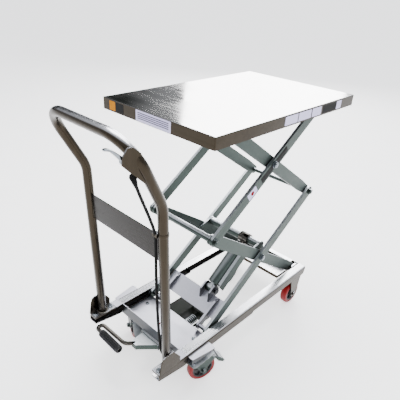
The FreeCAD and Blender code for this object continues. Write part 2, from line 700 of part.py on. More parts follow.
def pump_plunger():
    """Plunger with a spring seat and a push rod back to the pedal's finger."""
    rod = Part.makeCylinder(PLUNGER_R, 96, V(-236, PLUNGER_Y, PLUNGER_Z), ALONG)
    seat = Part.makeCylinder(18, 5, V(-240, PLUNGER_Y, PLUNGER_Z), ALONG)
    push = Part.makeCylinder(6, 104.5, V(-344, PLUNGER_Y, PLUNGER_Z), ALONG)
    return fuse(rod, seat, push)


def pump_spring():
    """Return spring between the seat and the cylinder, wound as a helix."""
    wire_r = 1.8
    coil_r = 14.6
    pitch = 8.0
    height = 64.0
    helix = Part.makeHelix(pitch, height, coil_r)
    ring = Part.Wire(Part.makeCircle(wire_r, V(coil_r, 0, 0), ACROSS))
    coil = Part.Wire(helix).makePipeShell([ring], True, True)
    coil.Placement = FreeCAD.Placement(V(-232.8, PLUNGER_Y, PLUNGER_Z), FreeCAD.Rotation(UP, ALONG))
    return coil


def pedal_bracket():
    """Hanger under the deck's rear edge with two ears for the pedal's pin."""
    top = DECK_TOP - DECK_SHEET
    plate = box((-372, -318), (-66, 34), (top - 3, top))
    ears = [box((-370, -334), y, (100, top - 2)) for y in ((-66, -62), (30, 34))]
    pin = disc(PEDAL_PIVOT, (-69, 37), PEDAL_PIN_R)
    ends = [disc(PEDAL_PIVOT, y, 8.0) for y in ((-70, -66), (34, 38))]
    return fuse(plate, *ears, pin, *ends)


def pedal_yoke(rod):
    """Pressed yoke on the pedal's pin: two cheeks, a hollow nose round the rod, and a finger."""
    cheeks = [side_plate([(-345, 119), (-345, 104), (-362, 102), (-372, 100), (-374, 121),
                          (-360, 122)], y) for y in ((-58, -54), (22, 26))]
    bosses = [disc(PEDAL_PIVOT, y, 9) for y in ((-61.5, -54), (22, 29.5))]
    nose = floor_plate([(-366, -58), (-366, 26), (-420, 24), (-426, 18), (-426, -4), (-418, -10)],
                       (101, 121))
    hollow = floor_plate([(-360, -54), (-360, 22), (-417, 20), (-422, 15), (-422, -2), (-416, -6)],
                         (100, 118))
    finger = disc(V(PEDAL_PIVOT.x, 0, PLUNGER_Z), (-36, -20), 7.0)
    web = box((-357, -347), (-36, -20), (PLUNGER_Z, 107))
    sleeve = disc(PEDAL_PIVOT, (-54, 22), 8.5)
    solid = fuse(nose.cut(hollow), *cheeks, *bosses, sleeve, web, finger)
    return solid.cut(disc(PEDAL_PIVOT, (-70, 40), PEDAL_PIN_R + RUN)).cut(rod)


def pedal_rod():
    """Bent rod from the yoke rearwards, then back on itself through the grip."""
    return rod_along(PEDAL_PATH, [24, 11, 11], PEDAL_R)


def pedal_grip():
    """Rubber sleeve over the rod's free leg."""
    start = PEDAL_PATH[4]
    back = (PEDAL_PATH[3] - start).normalize()
    sleeve = Part.makeCylinder(GRIP_R, GRIP_LENGTH, start - back * 4, back)
    sleeve = sleeve.makeFillet(4, find_edges(sleeve, lambda b: b.YLength < 3))
    return sleeve.cut(Part.makeCylinder(PEDAL_R, GRIP_LENGTH + 6, start, back))


# Table ---------------------------------------------------------------------------------------

def table_top():
    """Pan of folded sheet: flat top, skirts all round and a hem turned inwards."""
    x = TABLE_LENGTH / 2
    y = TABLE_WIDTH / 2
    low = TABLE_TOP - TABLE_DEPTH
    sheet = TABLE_SHEET
    solid = box((-x, x), (-y, y), (low, TABLE_TOP))
    upright = find_edges(solid, lambda b: b.ZLength > 30)
    solid = solid.makeFillet(3, upright)
    rim = find_edges(solid, lambda b: b.ZMin > TABLE_TOP - 0.1)
    solid = solid.makeFillet(2, rim)
    inside = box((sheet - x, x - sheet), (sheet - y, y - sheet), (low + sheet, TABLE_TOP - sheet))
    hem = TABLE_HEM
    mouth = box((hem - x, x - hem), (hem - y, y - hem), (low - 1, low + sheet + 1))
    return solid.cut(inside).cut(mouth)


def table_channel():
    """Roller track under the table's rear half, opening inwards."""
    top = TABLE_TOP - TABLE_SHEET
    sheet = 2.5
    inside_top = TABLE_PIVOT_Z + TOP_ROLLER_R + 0.3
    inside_low = TABLE_PIVOT_Z - TOP_ROLLER_R - 0.3
    solid = box((-346, -118), (146, 171), (inside_low - sheet, top))
    hem_edge = TABLE_HEM - TABLE_LENGTH / 2
    hem_top = TABLE_TOP - TABLE_DEPTH + TABLE_SHEET
    over_hem = box((-350, hem_edge + 0.5), (140, 175), (inside_low - 5, hem_top + 0.3))
    solid = solid.cut(box((-350, -110), (140, 171 - sheet), (inside_low, inside_top)))
    return solid.cut(over_hem)


def table_bracket():
    """Hanger at the table's front for the upper outer arm's pin."""
    top = TABLE_TOP - TABLE_SHEET
    ear = side_plate([(296, top), (342, top), (336, 868), (300, 868)], (148, 154))
    foot = box((296, 342), (154, 172), (top - 3, top))
    return fuse(ear, foot).cut(disc(TABLE_FRONT, (147, 155), PIN_R))


def main():
    os.makedirs("parts", exist_ok=True)
    rail = base_rail()
    save("base_rail_left", rail)
    save("base_rail_right", mirror(rail))
    save("front_cross_member", front_cross_member())
    ear = front_pivot_bracket()
    save("front_pivot_brackets", ear, mirror(ear))
    save("base_pivot_pins", *pin_pair(BASE_FRONT, (INNER_Y[0], 142), 140, 16.0))
    fork = front_fork()
    bolt = axle(V(FRONT_WHEEL_X, 0, WHEEL_R), FORK_CHEEKS[0][0], FORK_CHEEKS[1][1])
    save("front_forks", fork, mirror(fork), bolt, mirror(bolt))
    save("deck_plate", deck_plate())
    save("frame_bolts", *caster_bolts(), *handle_bolts())

    for side in ("left", "right"):
        save("front_tyre_" + side, at_front_wheel(tyre(), side))
        save("front_hub_" + side, at_front_wheel(hub(), side))
        save("caster_bracket_" + side, side_of(side, caster_bracket()))
        at_rear = V(TRAIL, 0, WHEEL_R)
        wheel = [tyre(), hub()]
        for solid in wheel:
            solid.translate(at_rear)
        save("rear_tyre_" + side, to_caster(wheel[0], side))
        save("rear_hub_" + side, to_caster(wheel[1], side))
        pin = axle(at_rear, -21.5, 21.5)
        save("caster_fork_" + side, to_caster(caster_fork(), side), to_caster(pin, side))
        save("brake_pedal_" + side, to_caster(brake_pedal(), side))
        save("handle_foot_" + side, side_of(side, handle_foot()))

    plates = []
    for side in (1, -1):
        plate = caster_plate()
        plate.translate(V(SWIVEL_X, side * SWIVEL_Y, 0))
        plates.append(bolt_holes(plate))
    save("caster_plates", *plates)

    tube_solid, tube = handle_tube()
    save("handle_tube", tube)
    save("handle_panel", handle_panel(tube_solid))
    save("lever_bracket", lever_bracket(tube_solid))
    save("release_lever", release_lever())
    save("release_cable", release_cable())
    save("cable_clip", cable_clip(tube_solid))

    for name, make in (("lower_outer_arm", lower_outer_arm), ("lower_inner_arm", lower_inner_arm),
                       ("upper_outer_arm", upper_outer_arm), ("upper_inner_arm", upper_inner_arm)):
        bar = make()
        save(name + "_left", bar)
        save(name + "_right", mirror(bar))
    base_roller = roller(BASE_REAR, BASE_ROLLER_R)
    save("base_rollers", base_roller, mirror(base_roller))
    top_roller = roller(TABLE_REAR, TOP_ROLLER_R)
    save("top_rollers", top_roller, mirror(top_roller))
    save("lower_cross_plate", lower_cross_plate(), clevis_bolt())
    save("torsion_tube", torsion_tube())
    save("rear_cross_shaft", cross_shaft(JOINT_REAR, 11.0))
    save("front_cross_shaft", cross_shaft(JOINT_FRONT, 8.0))
    save("lower_center_pins", *pin_pair(LOWER_MIDDLE, (INNER_Y[0], 146), OUTER_Y[1]))
    save("upper_center_pins", *pin_pair(UPPER_MIDDLE, (INNER_Y[0], 146), OUTER_Y[1]))

    save("ram_barrel", ram_barrel())
    save("ram_plate", ram_plate())
    save("ram_rod", ram_rod())
    save("pump_body", pump_body())
    save("pump_plunger", pump_plunger())
    save("pump_spring", pump_spring())
    save("pedal_bracket", pedal_bracket())
    rod = pedal_rod()
    save("pedal_yoke", pedal_yoke(rod))
    save("pedal_rod", rod)
    save("pedal_grip", pedal_grip())

    save("table_top", table_top())
    channel = table_channel()
    hanger = table_bracket()
    save("table_channels", channel, mirror(channel))
    save("table_brackets", hanger, mirror(hanger), *pin_pair(TABLE_FRONT, (OUTER_Y[0], 156), 154))


main()
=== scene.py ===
"""Looks of the scissor lift table: camera, light, materials and the pieces that the frame keeps plain."""
import json
import math
import bmesh
import bpy
from mathutils import Matrix, Vector


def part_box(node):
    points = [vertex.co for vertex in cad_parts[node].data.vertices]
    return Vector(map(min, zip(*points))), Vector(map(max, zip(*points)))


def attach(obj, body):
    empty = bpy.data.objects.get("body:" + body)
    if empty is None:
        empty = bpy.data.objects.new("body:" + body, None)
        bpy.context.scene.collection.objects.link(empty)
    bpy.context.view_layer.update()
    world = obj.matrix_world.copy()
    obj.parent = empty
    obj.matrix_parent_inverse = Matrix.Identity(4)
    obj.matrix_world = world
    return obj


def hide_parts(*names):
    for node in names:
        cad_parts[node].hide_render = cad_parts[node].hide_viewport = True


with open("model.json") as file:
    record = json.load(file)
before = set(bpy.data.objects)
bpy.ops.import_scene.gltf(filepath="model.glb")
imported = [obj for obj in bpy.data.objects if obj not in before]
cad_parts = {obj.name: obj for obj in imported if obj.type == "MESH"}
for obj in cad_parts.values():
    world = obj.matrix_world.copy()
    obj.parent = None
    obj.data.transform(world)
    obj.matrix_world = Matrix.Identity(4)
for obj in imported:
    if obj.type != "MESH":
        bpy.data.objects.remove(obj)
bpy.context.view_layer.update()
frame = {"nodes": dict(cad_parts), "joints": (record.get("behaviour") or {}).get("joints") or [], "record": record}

JOINTS = {joint["name"]: joint for joint in frame["joints"]}
NODES = frame["nodes"]
SUBPARTS = frame["record"]["subparts"]
SIDES = ("left", "right")
MM = 0.001
ALONG_X, ALONG_Y, ALONG_Z = (1, 0, 0), (0, 1, 0), (0, 0, 1)
FULL_TURN = 2 * math.pi

CAMERA_PLACE = (-0.9506, -0.856, 1.2376)
CAMERA_YAW, CAMERA_PITCH, CAMERA_ROLL = 42.43, 27.58, 3.396  # degrees, with the pitch downward
SENSOR_WIDTH, CAMERA_LENS = 36.0, 39.07                      # mm
CAMERA_NEAREST = 0.01

WORLD_STRENGTH = 1.5
ROOM_LIT, ROOM_DARK = (0.93, 0.95, 1.0, 1), (0.010, 0.012, 0.011, 1)
DARK_WALL = (0.253, 0.945, 0.208)  # direction of the unlit side of the room
DARK_WALL_EDGE = (0.72, 0.93)      # closeness to that direction where the dark begins, and where it is full
FLOOR_Z = -0.0005                  # just under the tyres
FLOOR_SIZE, FLOOR_GRID = 70.0, 24

COLOUR_A, COLOUR_B, COLOUR_OUT = 6, 7, 2  # the mix node's colour sockets, which share names with others
NOISE_RANGE = (0.7, 1.3)                  # where the sum of the two noises mostly lies
FINE_DETAIL = 7.0
SMUDGE_SCALE, SMUDGE_DETAIL = 5.5, 4.0
SPANGLE_SCALE = 160.0
RELIEF_DEPTH = 0.0003
LEAST_ROUGH = 0.03
HIGHLIGHT_FACING, SHADE_FACING = (0.55, 0.92), (-0.5, -0.9)  # a normal's z where the painted highlight (up) or painted shade (down) begins, and where it is full

CAD_MERGE, CAD_EDGE = 0.00001, 0.0005  # metres: vertices joined, and width of the rounded edge
CAD_EDGE_ANGLE = 38                    # degrees
PROUD, FILM_THICK = 0.00005, 0.0004    # metres: a film's gap to the surface below, and its thickness
BEAD_STEP, BEAD_SIDES, BEAD_RIPPLE = 0.0012, 12, 0.22
BEAD_POINTS_ROUND = 72                 # a multiple of four, the points in one ripple
OFF_EVERY_BEAD = Vector((0.31, 0.17, 0.94))  # a direction that no bead runs in

SOURCE_X = 0.131                       # where the CAD source's origin lies in the frame
DECK_SHEET = 0.0025
BASE_REAR_PIVOT = Vector((-0.0912, 0, 0.1475))
MIDDLE_REAR_PIVOT = Vector((-0.0912, 0, 0.51435))
TABLE_FRONT_PIVOT = Vector((0.449, 0, 0.8812))
LOWER_ARM_ALONG, LOWER_ARM_UP = Vector((0.8273, 0, 0.5618)), Vector((-0.5618, 0, 0.8273))


# Camera, floor and light -------------------------------------------------------

def add_camera():
    """A standing person's view over the right side of the push handle."""
    yaw, pitch, roll = (math.radians(a) for a in (CAMERA_YAW, CAMERA_PITCH, CAMERA_ROLL))
    forward = Vector((math.cos(yaw) * math.cos(pitch), math.sin(yaw) * math.cos(pitch), -math.sin(pitch)))
    right = Vector((math.sin(yaw), -math.cos(yaw), 0))
    up = right.cross(forward)
    turned_right = right * math.cos(roll) + up * math.sin(roll)
    turned_up = up * math.cos(roll) - right * math.sin(roll)
    data = bpy.data.cameras.new("camera")
    data.sensor_width = SENSOR_WIDTH
    data.lens = CAMERA_LENS
    data.clip_start = CAMERA_NEAREST
    camera = bpy.data.objects.new("camera", data)
    bpy.context.scene.collection.objects.link(camera)
    axes = Matrix((turned_right, turned_up, -forward)).transposed()
    camera.matrix_world = Matrix.Translation(CAMERA_PLACE) @ axes.to_4x4()
    bpy.context.scene.camera = camera


def add_area(name, place, aim, size, power):
    """Soft lamp at place, in metres, that faces aim; power in watts."""
    data = bpy.data.lights.new(name, "AREA")
    data.shape = "RECTANGLE"
    data.size, data.size_y = size
    data.energy = power
    light = bpy.data.objects.new(name, data)
    light.location = place
    light.rotation_euler = (Vector(aim) - Vector(place)).to_track_quat("-Z", "Y").to_euler()
    bpy.context.scene.collection.objects.link(light)


def add_studio():
    """White room with one dark side, which the bare metal reflects, and three soft lamps."""
    world = bpy.data.worlds.new("studio")
    world.use_nodes = True
    nodes, links = world.node_tree.nodes, world.node_tree.links
    background = nodes["Background"]
    background.inputs["Strength"].default_value = WORLD_STRENGTH
    direction = nodes.new("ShaderNodeTexCoord")
    toward = nodes.new("ShaderNodeVectorMath")
    toward.operation = "DOT_PRODUCT"
    toward.inputs[1].default_value = DARK_WALL
    links.new(direction.outputs["Generated"], toward.inputs[0])
    edge = map_range(nodes, links, toward.outputs["Value"], DARK_WALL_EDGE)
    room = mix_colours(nodes, links, edge, ROOM_LIT, ROOM_DARK)
    links.new(room, background.inputs["Color"])
    bpy.context.scene.world = world
    add_area("overhead", (0.5, 0.3, 3.2), (0.15, 0, 0.5), (2.6, 2.0), 150)
    add_area("far_window", (3.4, 2.2, 2.4), (0.1, 0, 0.6), (2.0, 2.4), 170)
    add_area("near_fill", (-1.2, -3.0, 1.9), (0.1, 0, 0.5), (1.6, 1.6), 25)


def add_floor():
    """Pale painted floor with a glow of its own, which lifts it towards the photograph's white."""
    bm = bmesh.new()
    bmesh.ops.create_grid(bm, x_segments=FLOOR_GRID, y_segments=FLOOR_GRID, size=FLOOR_SIZE)
    mesh = bpy.data.meshes.new("floor")
    bm.to_mesh(mesh)
    bm.free()
    floor = bpy.data.objects.new("floor", mesh)
    floor.location.z = FLOOR_Z
    bpy.context.scene.collection.objects.link(floor)
    paint = make_material("floor_paint", (0.93, 0.93, 0.93), 0.75, 0.0, grain=9.0, spread=0.02, glow=1.2)
    floor.data.materials.append(paint)


# Materials ---------------------------------------------------------------------

def map_range(nodes, links, value, source, target=(0.0, 1.0)):
    """The value carried from the source range to the target range, and clamped to it."""
    node = nodes.new("ShaderNodeMapRange")
    for word, (least, most) in (("From", source), ("To", target)):
        node.inputs[f"{word} Min"].default_value = least
        node.inputs[f"{word} Max"].default_value = most
    links.new(value, node.inputs["Value"])
    return node.outputs["Result"]


def mix_colours(nodes, links, factor, first, second):
    """From first, a colour or a node's output, to the colour second, as factor goes from 0 to 1."""
    mix = nodes.new("ShaderNodeMix")
    mix.data_type = "RGBA"
    if isinstance(first, bpy.types.NodeSocket):
        links.new(first, mix.inputs[COLOUR_A])
    else:
        mix.inputs[COLOUR_A].default_value = first
    mix.inputs[COLOUR_B].default_value = second
    links.new(factor, mix.inputs[0])
    return mix.outputs[COLOUR_OUT]


def add_noise(nodes, links, vector, scale, detail):
    noise = nodes.new("ShaderNodeTexNoise")
    noise.inputs["Scale"].default_value = scale
    noise.inputs["Detail"].default_value = detail
    links.new(vector, noise.inputs["Vector"])
    return noise.outputs["Fac"]


def make_material(name, colour, rough, metal, grain=60.0, stretch=(1, 1, 1), spread=0.12, rough_spread=0.08,
                  bump=0.15, top_highlight=None, under_shade=None, specks=0.0, specular=0.5, glow=0.0):
    """Fine grain drawn out by stretch, and wide smudges, vary the colour and the gloss by their spreads.

    Faces that look up get a painted highlight and faces that look down get painted shade, and specks is the
    strength of the zinc spangle.
    """
    material = bpy.data.materials.new(name)
    material.use_nodes = True
    tree = material.node_tree
    nodes, links = tree.nodes, tree.links
    shader = nodes["Principled BSDF"]
    shader.inputs["Metallic"].default_value = metal
    shader.inputs["Specular IOR Level"].default_value = specular
    shader.inputs["Emission Color"].default_value = (1, 1, 1, 1)
    shader.inputs["Emission Strength"].default_value = glow
    place = nodes.new("ShaderNodeTexCoord").outputs["Object"]
    scaled = nodes.new("ShaderNodeMapping")
    scaled.inputs["Scale"].default_value = stretch
    links.new(place, scaled.inputs["Vector"])
    fine = add_noise(nodes, links, scaled.outputs["Vector"], grain, FINE_DETAIL)
    smudge = add_noise(nodes, links, place, SMUDGE_SCALE, SMUDGE_DETAIL)
    both = nodes.new("ShaderNodeMath")
    both.operation = "ADD"
    links.new(fine, both.inputs[0])
    links.new(smudge, both.inputs[1])
    blend = map_range(nodes, links, both.outputs["Value"], NOISE_RANGE)
    darker = (*[c * (1 - spread) for c in colour], 1)
    lighter = (*[min(1.0, c * (1 + spread)) for c in colour], 1)
    last = mix_colours(nodes, links, blend, darker, lighter)
    # Painted highlight on faces that look up, painted shade on faces that look down.
    if top_highlight:
        last = paint_light_by_facing(nodes, links, last, top_highlight, HIGHLIGHT_FACING)
    if under_shade:
        last = paint_light_by_facing(nodes, links, last, under_shade, SHADE_FACING)
    if specks:
        last = add_specks(nodes, links, place, last, specks)
    links.new(last, shader.inputs["Base Color"])
    rough_range = (max(LEAST_ROUGH, rough - rough_spread), min(1.0, rough + rough_spread))
    gloss = map_range(nodes, links, both.outputs["Value"], NOISE_RANGE, rough_range)
    links.new(gloss, shader.inputs["Roughness"])
    relief = nodes.new("ShaderNodeBump")
    relief.inputs["Strength"].default_value = bump
    relief.inputs["Distance"].default_value = RELIEF_DEPTH
    links.new(fine, relief.inputs["Height"])
    links.new(relief.outputs["Normal"], shader.inputs["Normal"])
    return material


def paint_light_by_facing(nodes, links, colour, tone, facing):
    """Blend to tone as a face's upward component goes through facing: painted highlight on tops, painted shade on
    undersides.
    """
    geometry = nodes.new("ShaderNodeNewGeometry")
    split = nodes.new("ShaderNodeSeparateXYZ")
    links.new(geometry.outputs["Normal"], split.inputs["Vector"])
    return mix_colours(nodes, links, map_range(nodes, links, split.outputs["Z"], facing), colour, (*tone, 1))


def add_specks(nodes, links, place, colour, amount):
    """Zinc spangle: pale and dark cells a few millimetres wide."""
    cells = nodes.new("ShaderNodeTexVoronoi")
    cells.inputs["Scale"].default_value = SPANGLE_SCALE
    links.new(place, cells.inputs["Vector"])
    grey = nodes.new("ShaderNodeRGBToBW")
    links.new(cells.outputs["Color"], grey.inputs["Color"])
    scale = nodes.new("ShaderNodeVectorMath")
    scale.operation = "SCALE"
    links.new(colour, scale.inputs[0])
    level = map_range(nodes, links, grey.outputs["Val"], (0.0, 1.0), (1.0 - amount, 1.0 + amount))
    links.new(level, scale.inputs["Scale"])
    return scale.outputs["Vector"]


# Dark bare-metal bases stand in for the dark reflection on sides; the top tints below are a painted highlight of
# the overhead light.
STAINLESS = (0.030, 0.024, 0.017)
ZINC = (0.044, 0.057, 0.052)

MATERIALS = {
    "stainless": make_material("stainless_tube", STAINLESS, 0.24, 1.0, 70, (1, 1, 0.06), 0.16,
                               top_highlight=(0.75, 0.76, 0.80)),
    "rail": make_material("stainless_rail", STAINLESS, 0.28, 1.0, 80, (0.05, 1, 1), 0.18,
                          top_highlight=(0.66, 0.67, 0.70)),
    # Platform: painted highlight on its top and near-black painted shade on its underside.
    "table": make_material("stainless_platform", STAINLESS, 0.14, 1.0, 90, (1, 0.03, 1), 0.16,
                           bump=0.10, top_highlight=(0.70, 0.69, 0.68), under_shade=(0.006, 0.006, 0.006)),
    # Near black: the handle panel's dark reflection painted in, a shaded copy of the stainless.
    "panel": make_material("stainless_panel", (0.006, 0.0045, 0.0034), 0.26, 1.0, 90, (1, 0.04, 1), 0.14),
    "zinc": make_material("zinc_plate", ZINC, 0.42, 1.0, 55, top_highlight=(0.80, 0.84, 0.88), specks=0.06),
    # Zinc sheet: dark base as painted shade on upright faces, painted highlight on faces that look up.
    "deck": make_material("zinc_sheet", (0.060, 0.062, 0.066), 0.36, 1.0, 30, (1, 0.25, 1), 0.08,
                          top_highlight=(0.74, 0.74, 0.82), specks=0.03),
    "bright": make_material("zinc_fastener", (0.20, 0.22, 0.24), 0.22, 1.0, 120),
    "chrome": make_material("polished_steel", (0.060, 0.056, 0.050), 0.12, 1.0, 160, spread=0.06,
                            rough_spread=0.03, bump=0.03),
    "tyre": make_material("red_polyurethane", (0.17, 0.0, 0.001), 0.36, 0.0, 140, spread=0.10, specular=0.25),
    "nylon": make_material("black_nylon", (0.006, 0.006, 0.007), 0.45, 0.0, 220, spread=0.25),
    "sheath": make_material("black_sheath", (0.0015, 0.0015, 0.0015), 0.60, 0.0, 300, spread=0.25,
                            specular=0.08),
    "casting": make_material("painted_casting", (0.008, 0.011, 0.007), 0.50, 0.2, 180, spread=0.20,
                             bump=0.4, specular=0.25),
    "rubber": make_material("black_rubber", (0.002, 0.002, 0.003), 0.40, 0.0, 260, spread=0.25, bump=0.3,
                            specular=0.3),
    "yellow": make_material("yellow_film", (0.44, 0.16, 0.0), 0.55, 0.0, 90, spread=0.05, bump=0.05,
                            specular=0.05),
    "black_film": make_material("black_film", (0.002, 0.002, 0.002), 0.55, 0.0, 90, spread=0.20,
                                bump=0.05, specular=0.10),
    "white_film": make_material("white_film", (0.52, 0.49, 0.72), 0.45, 0.0, 90, spread=0.03, bump=0.05),
    "line_ink": make_material("grey_ink", (0.012, 0.008, 0.030), 0.55, 0.0, 90, spread=0.08, bump=0.05,
                              specular=0.05),
    "red_film": make_material("red_film", (0.16, 0.001, 0.003), 0.50, 0.0, 90, spread=0.06, bump=0.05,
                              specular=0.05),
    "weld": make_material("weld_metal", (0.13, 0.12, 0.10), 0.42, 1.0, 400, spread=0.25, bump=0.5),
}

SLOT_MATERIAL = {"stainless": "stainless", "zinc_steel": "zinc", "bright_steel": "bright", "chrome": "chrome",
                 "red_tyre": "tyre", "black_nylon": "nylon", "black_sheath": "sheath",
                 "black_casting": "casting", "black_rubber": "rubber"}
NODE_MATERIAL = {"table_top": "table", "handle_panel": "panel", "deck_plate": "deck",
                 "base_rail_left": "rail", "base_rail_right": "rail", "front_cross_member": "rail",
                 "lower_cross_plate": "deck", "caster_bracket_left": "deck", "caster_bracket_right": "deck"}


def dress_frame():
    """Give each CAD node its material, and break its sharp edges so that they catch the light."""
    for part in SUBPARTS:
        node = NODES[part["node"]]
        key = NODE_MATERIAL.get(part["node"], SLOT_MATERIAL[part["material_slot"]])
        node.data.materials.clear()
        node.data.materials.append(MATERIALS[key])
        weld = node.modifiers.new("join", "WELD")
        weld.merge_threshold = CAD_MERGE
        edge = node.modifiers.new("edge", "BEVEL")
        edge.width = CAD_EDGE
        edge.segments = 2
        edge.limit_method = "ANGLE"
        edge.angle_limit = math.radians(CAD_EDGE_ANGLE)
        edge.harden_normals = True


# Building pieces ------------------------------------------------------------------

def add_piece(name, bm, material, body, smooth=35):
    """A finished mesh that rides on a body; edges sharper than smooth degrees stay sharp."""
    bmesh.ops.recalc_face_normals(bm, faces=bm.faces)
    mesh = bpy.data.meshes.new(name)
    bm.to_mesh(mesh)
    bm.free()
    mesh.materials.append(MATERIALS[material])
    for face in mesh.polygons:
        face.use_smooth = True
    mesh.set_sharp_from_angle(angle=math.radians(smooth))
    piece = bpy.data.objects.new(name, mesh)
    bpy.context.scene.collection.objects.link(piece)
    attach(piece, body)
    return piece


def bridge(bm, here, there):
    """Quads between two rings of as many vertices."""
    for i in range(len(here)):
        j = (i + 1) % len(here)
        bm.faces.new((here[i], here[j], there[j], there[i]))


def cap_ends(bm, first, last):
    bm.faces.new(list(reversed(first)))
    bm.faces.new(last)


def axis_frame(place, axis):
    """Matrix that puts local Y on axis at place."""
    turn = Vector(ALONG_Y).rotation_difference(Vector(axis)).to_matrix().to_4x4()
    return Matrix.Translation(place) @ turn


def lathe(profile, matrix, steps, wave=None):
    """Closed ring of (radius, y) points in mm turned about local Y.

    wave(radius, y, angle) adds to the radius.
    """
    bm = bmesh.new()
    rings = []
    for k in range(steps):
        angle = FULL_TURN * k / steps
        ring = []
        for radius, y in profile:
            r = radius + (wave(radius, y, angle) if wave else 0)
            ring.append(bm.verts.new(matrix @ (Vector((r * math.cos(angle), y, r * math.sin(angle))) * MM)))
        rings.append(ring)
    for k in range(steps):
        bridge(bm, rings[k], rings[(k + 1) % steps])
    return bm


def corner_arc(cx, cy, radius, start, end, steps=6):
    """Points on an arc in degrees, for rounding a profile's corner."""
    angles = [math.radians(start + (end - start) * k / steps) for k in range(steps + 1)]
    return [(cx + radius * math.cos(a), cy + radius * math.sin(a)) for a in angles]


def film(name, centre, along, upward, size, material, body, radius=0.002, thick=FILM_THICK):
    """Rounded sheet on a surface: along and upward span it, and it stands proud by its thickness."""
    along, upward = Vector(along).normalized(), Vector(upward).normalized()
    out = along.cross(upward).normalized()
    half_w, half_h = size[0] / 2 - radius, size[1] / 2 - radius
    outline = []
    for sx, sy, start in ((1, 1, 0), (-1, 1, 90), (-1, -1, 180), (1, -1, 270)):
        outline += corner_arc(sx * half_w, sy * half_h, radius, start, start + 90)
    bm = bmesh.new()
    levels = []
    for lift, shrink in ((0, 1.0), (thick * 0.6, 1.0), (thick, 0.995)):
        levels.append([bm.verts.new(Vector(centre) + along * x * shrink + upward * y * shrink + out * lift)
                       for x, y in outline])
    for low, high in zip(levels, levels[1:]):
        bridge(bm, low, high)
    bm.faces.new(levels[-1])
    bm.faces.new(list(reversed(levels[0])))
    return add_piece(name, bm, material, body, 30)


def bead(name, points, radius, body, closed=False):
    """Weld bead along points: a rounded strip with overlapping scales."""
    steps = len(points)
    bm = bmesh.new()
    rings = []
    for k, point in enumerate(points):
        before = points[k - 1] if closed or k else points[k]
        after = points[(k + 1) % steps] if closed or k < steps - 1 else points[k]
        tangent = (after - before).normalized()
        side = tangent.cross(OFF_EVERY_BEAD).normalized()
        other = tangent.cross(side)
        r = radius * (1 + BEAD_RIPPLE * math.cos(k * math.pi / 2))
        rings.append([bm.verts.new(point + (side * math.cos(a) + other * math.sin(a)) * r)
                      for a in (FULL_TURN * m / BEAD_SIDES for m in range(BEAD_SIDES))])
    for k in range(steps if closed else steps - 1):
        bridge(bm, rings[k], rings[(k + 1) % steps])
    if not closed:
        cap_ends(bm, rings[0], rings[-1])
    return add_piece(name, bm, "weld", body, 60)


def straight(start, end):
    """Points a bead's step apart from start to end."""
    count = max(2, int((end - start).length / BEAD_STEP))
    return [start.lerp(end, k / count) for k in range(count + 1)]


def level_ellipse(centre, radius_x, radius_y):
    """Points of a closed bead round an upright tube."""
    angles = [FULL_TURN * k / BEAD_POINTS_ROUND for k in range(BEAD_POINTS_ROUND)]
    return [Vector(centre) + Vector((radius_x * math.cos(a), radius_y * math.sin(a), 0)) for a in angles]


# Wheels ------------------------------------------------------------------------------

HUB_RIBS = 5
RIB_HALF_WIDTH = 1.3       # mm
RIB_EDGE = 0.0004


def wheel_matrix(end, side):
    joint = JOINTS[f"{end}_wheel_spin_{side}"]
    return axis_frame(joint["pos_m"], joint["axis"])


def half_tyre():
    """Section of one half of the tyre, from the tread's middle round the shoulder to the bead."""
    shoulder = corner_arc(43.0, 7.6, 6.4, 12, 90, 8)
    tread = [(49.9, 0.0), (49.85, 3.0), (49.6, 6.5)]
    side = [(41.2, 14.0), (40.6, 13.3), (39.6, 13.2), (39.0, 13.8), (37.6, 13.6), (37.05, 12.6)]
    return tread + shoulder + side


def make_tyre(end, side):
    half = half_tyre()
    profile = half + [(r, -y) for r, y in reversed(half[1:])]
    bm = lathe(profile, wheel_matrix(end, side), 128)
    tyre = add_piece(f"tyre_{end}_{side}", bm, "tyre", f"{end}_wheel_{side}", 40)
    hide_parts(f"{end}_tyre_{side}")


def web_swell(radius, y, angle):
    """Adds up to 0.9 mm to the web's radius in narrow bands between its inner and outer rims."""
    return 0.9 * max(0.0, math.cos(HUB_RIBS * angle)) ** 6 if 14 < radius < 33 else 0.0


def make_hub(end, side):
    """Moulded centre: rolled rim, dished web with ribs, and the bearing's grey seal ring."""
    matrix = wheel_matrix(end, side)
    body = f"{end}_wheel_{side}"
    rim = [(36.95, 12.4), (36.95, -12.4), (35.8, -13.2), (33.6, -13.0), (32.4, -11.6), (30.6, -5.0),
           (24.0, -3.6), (16.0, -5.0), (13.6, -9.0), (13.0, -16.2), (12.0, -17.0), (6.6, -17.0)]
    profile = rim + [(r, -y) for r, y in reversed(rim[2:])]
    bm = lathe(profile, matrix, 120, web_swell)
    hub = add_piece(f"hub_{end}_{side}", bm, "nylon", body, 40)
    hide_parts(f"{end}_hub_{side}")
    ring = [(11.6, 16.8), (11.6, 17.3), (11.2, 17.6), (8.6, 17.6), (8.2, 17.3), (8.2, 16.8)]
    for face, sign in (("inner", -1), ("outer", 1)):
        bm = lathe([(r, sign * y) for r, y in ring], matrix, 72)
        add_piece(f"seal_{end}_{side}_{face}", bm, "bright", body)
    for k in range(HUB_RIBS):
        make_rib(end, side, matrix, body, FULL_TURN * (k + 0.5) / HUB_RIBS, k)


